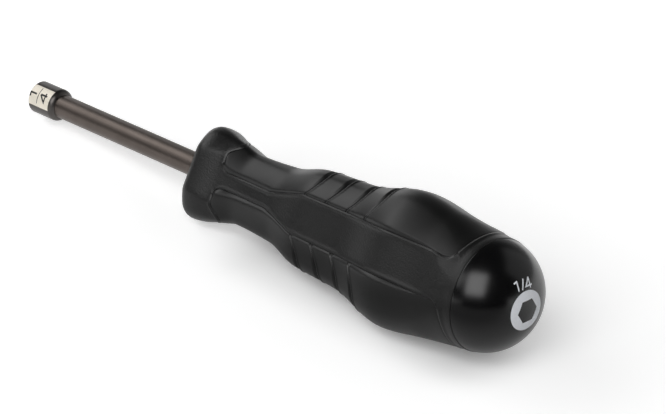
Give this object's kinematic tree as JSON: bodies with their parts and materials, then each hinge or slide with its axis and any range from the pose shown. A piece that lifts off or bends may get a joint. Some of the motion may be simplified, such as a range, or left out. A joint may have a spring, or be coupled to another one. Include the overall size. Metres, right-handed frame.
{
  "type": "nut driver",
  "caption": "Nut driver with a hex socket on a straight hollow shaft and a three-lobed handle with inlaid grip pads, for turning hex nuts and bolt heads by hand.",
  "frame": {"origin": "centre of the hex opening in the plane of the socket's mouth", "axes": "+X along the tool's axis from the mouth of the socket to the butt, +Z through the ridge of one lobe of the handle"},
  "size_m": [0.1888, 0.037, 0.036],
  "materials": {
    "oxide_steel": "black oxide",
    "tube_steel": "warm black oxide, drawn",
    "plug_steel": "plain turned",
    "gloss_resin": "high gloss",
    "satin_resin": "fine satin texture",
    "pad_rubber": "smooth satin"
  },
  "bodies": {
    "root": {"hex_socket": "oxide_steel", "hollow_shaft": "tube_steel", "shaft_plug": "plug_steel", "handle_core": "gloss_resin", "handle_shell": "satin_resin", "grip_pad_top": "pad_rubber", "grip_pad_left": "pad_rubber", "grip_pad_right": "pad_rubber"}
  },
  "joints": []
}
